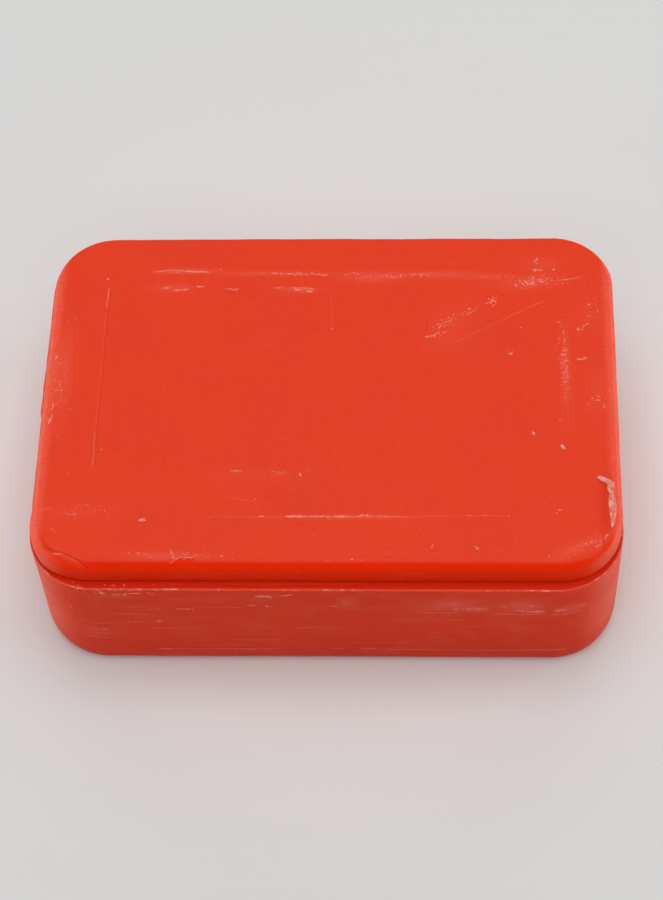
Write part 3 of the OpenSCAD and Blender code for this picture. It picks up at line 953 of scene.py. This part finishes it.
def clay_material(name, body, deep, haze, pale, gloss, shine, brush, marks=None, crease_shades=None):
    """Soft waxy clay. body is its colour, deep its darker mottle and the colour of the painted shade in
    creases and hollows, haze the colour of the bloom and of the painted sheen on it, and pale the colour
    where it is scraped and of the painted highlights. gloss is its roughness, shine the strength of its
    reflection, and brush how fine its streaks are along X, Y and Z, per metre. marks and the crease
    lines, if any, draw thin pale lines and lines of painted shade."""
    t = Tree(name)
    mottle = t.noise(MOTTLE, 3)
    grain = t.noise(GRAIN, 4, 0.65)
    fine = t.noise(FINE_GRAIN, 2)
    streaks = t.noise(1, 3, 0.65, t.vector("MULTIPLY", t.coords, brush))
    clumps = t.noise(CLUMPS, 2)
    dots = t.noise(DOTS, 1.5)

    colour = t.mix(t.ramp(mottle, 0.3, 0.7, 0, 0.13), body, deep)
    # painted shade: edges and sides turn a saturated red with less sheen
    painted_edge_shade = t.mask("painted_edge_shade")
    colour = t.mix(painted_edge_shade, colour, SHADED_EDGE_RED)
    colour = t.mix(t.ramp(grain, 0.5, 0.85, 0, 0.1), colour, haze)
    hazy = t.times(t.mask("haze"), t.ramp(streaks, 0.47, 0.68, 0.06, 1.0))
    uneven = t.math("ADD", t.times(streaks, 0.5), t.times(grain, 0.5))
    # pale films, together with the painted sheen and highlights that share their mask
    film_and_sheen_share = t.times(t.mask("film_and_sheen"), t.ramp(uneven, 0.3, 0.66, 0.55, 1.25))
    colour = t.mix(t.math("MAXIMUM", hazy, film_and_sheen_share, True), colour, haze)
    # painted shade in creases, hollows, on the ledge and low on the block; on the shaving the same mask
    # is red mottling
    colour = t.mix(t.times(t.mask("painted_shade_and_mottle"), 0.85), colour, deep)
    # painted shade lines in the fold's crease, the left groove and the dent
    if crease_shades:
        colour = t.mix(crease_shades(t), colour, CREASE_SHADE)

    ragged = t.math("ADD", t.times(t.math("SUBTRACT", streaks, 0.5), 1.3),
                    t.times(t.math("SUBTRACT", grain, 0.5), 1.2))
    # pale marks: real scuffs, with the painted highlights that share their mask
    scuff_and_highlight = t.math("ADD", t.mask("scuff_and_highlight"), ragged)
    scuffed_and_lit = t.times(t.ramp(scuff_and_highlight, 0.3, 0.8), t.ramp(t.mask("scuff_and_highlight"), 0.04, 0.3))
    spots = t.math("ADD", t.times(dots, 0.7), t.times(clumps, 0.3))
    spots = t.math("ADD", spots, t.times(t.mask("speck"), 0.22))
    speckled = t.times(t.ramp(spots, 0.665, 0.725), t.ramp(t.mask("speck"), 0.02, 0.1))
    marked = t.math("MAXIMUM", scuffed_and_lit, t.times(speckled, 0.92))
    if marks:
        drawn = t.times(marks(t), t.ramp(grain, 0.3, 0.6, 0.55, 1.1))
        marked = t.math("MAXIMUM", marked, drawn, True)
    colour = t.mix(marked, colour, pale)
    t.put(t.shader.inputs["Base Color"], colour)

    rough = t.ramp(mottle, 0.3, 0.7, gloss - 0.03, gloss + 0.04)
    rough = t.math("ADD", rough, t.times(marked, 0.3))
    rough = t.math("ADD", rough, t.times(hazy, 0.2), clamp=True)
    t.put(t.shader.inputs["Roughness"], rough)

    normal = t.bump(t.noise(SWELL, 3), 0.0001, 0.5)
    normal = t.bump(grain, 0.00004, 0.5, normal)
    normal = t.bump(streaks, 0.00004, 0.5, normal)
    normal = t.bump(t.math("ADD", marked, t.times(fine, 0.3)), 0.00006, 0.8, normal)
    t.put(t.shader.inputs["Normal"], normal)

    t.shader.inputs["Subsurface Weight"].default_value = 0.4
    t.shader.inputs["Subsurface Radius"].default_value = (1.0, 0.22, 0.1)
    t.shader.inputs["Subsurface Scale"].default_value = 0.0015
    t.shader.inputs["IOR"].default_value = 1.45
    duller = t.math("SUBTRACT", 1.0, t.times(painted_edge_shade, 0.85))
    t.put(t.shader.inputs["Specular IOR Level"], t.times(duller, shine))
    return t.material


def floor_material():
    t = Tree("pale_floor")
    t.put(t.shader.inputs["Base Color"], t.mix(t.noise(9, 2), *FLOOR_TONES))
    t.shader.inputs["Roughness"].default_value = 0.85
    t.shader.inputs["Specular IOR Level"].default_value = 0.2
    return t.material


# ------------------------ studio

VIEW_DISTANCE = 359.0     # from the aim point, mm
VIEW_DOWN = 58.5          # degrees below level
VIEW_HEADING = -4.97      # degrees to the right of +Y
VIEW_ROLL = -4.2          # degrees
VIEW_AIM = (-0.08, 1.02, 9.51)
LENS = 94.2
SENSOR = 36.0

# Soft boxes, each as (name, place in metres, size in metres, watts).
SOFT_BOXES = [
    ("overhead", (0.0, 0.0, 1.2), (0.9, 0.9), 7.6),
    ("over_front", (0.0, -0.7, 1.0), (0.9, 0.6), 3.5),
    ("over_back", (0.0, 0.7, 1.0), (0.9, 0.6), 0.8),
    ("back", (0.0, 1.2, 0.4), (1.8, 0.6), 5.0),
    ("right", (0.9, 0.0, 0.7), (0.9, 0.6), 1.5),
    ("left_low", (-1.2, 0.0, 0.2), (1.2, 0.35), 5.8),
    ("right_low", (1.2, 0.0, 0.2), (1.2, 0.35), 4.4),
]
FILL = 0.01               # brightness of the dim surroundings
SEEN = (0.7, 0.7, 0.69, 1)  # what the camera sees past the floor
FLOOR_HALF = 2500         # mm


def make_camera():
    down, heading, roll = (math.radians(v) for v in (VIEW_DOWN, VIEW_HEADING, VIEW_ROLL))
    level = math.cos(down)
    ahead = Vector((math.sin(heading) * level, math.cos(heading) * level, -math.sin(down)))
    right = Vector((math.cos(heading), -math.sin(heading), 0))
    up = right.cross(ahead)
    right, up = (right * math.cos(roll) + up * math.sin(roll),
                 up * math.cos(roll) - right * math.sin(roll))
    camera = bpy.data.objects.new("camera", bpy.data.cameras.new("camera"))
    bpy.context.scene.collection.objects.link(camera)
    camera.data.lens, camera.data.sensor_width = LENS, SENSOR
    camera.data.clip_start, camera.data.clip_end = 0.01, 20
    turned = Matrix((right, up, -ahead)).transposed().to_4x4()
    turned.translation = (Vector(VIEW_AIM) - ahead * VIEW_DISTANCE) * MM
    camera.matrix_world = turned
    bpy.context.scene.camera = camera


def area_light(name, place, size, power):
    """A soft box that faces the bar."""
    light = bpy.data.lights.new(name, "AREA")
    light.shape, light.size, light.size_y = "RECTANGLE", size[0], size[1]
    light.energy = power
    lamp = bpy.data.objects.new(name, light)
    bpy.context.scene.collection.objects.link(lamp)
    lamp.location = place
    lamp.rotation_mode = "QUATERNION"
    lamp.rotation_quaternion = (-Vector(place)).to_track_quat("-Z", "Y")


def make_studio():
    world = bpy.data.worlds.new("studio")
    bpy.context.scene.world = world
    world.use_nodes = True
    nodes, links = world.node_tree.nodes, world.node_tree.links
    fill = nodes["Background"]
    fill.inputs["Color"].default_value = (1, 1, 1, 1)
    fill.inputs["Strength"].default_value = FILL
    seen = nodes.new("ShaderNodeBackground")
    seen.inputs["Color"].default_value = SEEN
    both = nodes.new("ShaderNodeMixShader")
    ray = nodes.new("ShaderNodeLightPath")
    links.new(ray.outputs["Is Camera Ray"], both.inputs[0])
    links.new(fill.outputs[0], both.inputs[1])
    links.new(seen.outputs[0], both.inputs[2])
    links.new(both.outputs[0], nodes["World Output"].inputs["Surface"])
    for light in SOFT_BOXES:
        area_light(*light)

    corners = np.array([(-1, -1, 0), (1, -1, 0), (1, 1, 0), (-1, 1, 0)], float) * FLOOR_HALF
    floor = make_mesh("floor", corners, [[0, 1, 2, 3]])
    floor.data.materials.append(floor_material())
    bpy.context.scene.view_settings.view_transform = "Standard"


# ------------------------ put together

make_camera()

SLAB_CLAY = clay_material(
    "slab_clay", BODY, DEEP, HAZE, PALE, gloss=0.42, shine=0.12, brush=(1300, 3600, 3600),
    marks=top_lines(TOP_LINES), crease_shades=top_lines(TOP_CREASE_SHADES))
BLOCK_CLAY = clay_material(
    "block_clay", BODY, DEEP, HAZE, PALE, gloss=0.5, shine=0.12, brush=(240, 240, 4200),
    marks=front_lines)
SHAVED_CLAY = clay_material(
    "shaved_clay", SHAVED, BODY, SHAVED_HAZE, SHAVED_PALE, gloss=0.5, shine=0.25,
    brush=(1400, 1400, 1400))

for make, material, node in (
    (build_slab, SLAB_CLAY, "upper_slab"),
    (build_block, BLOCK_CLAY, "lower_block"),
    (build_shaving, SHAVED_CLAY, "edge_flake"),
    (build_crumbs, SHAVED_CLAY, "crumbs"),
):
    piece = make()
    piece.data.materials.append(material)
    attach(piece, "root")
    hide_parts(node)

make_studio()
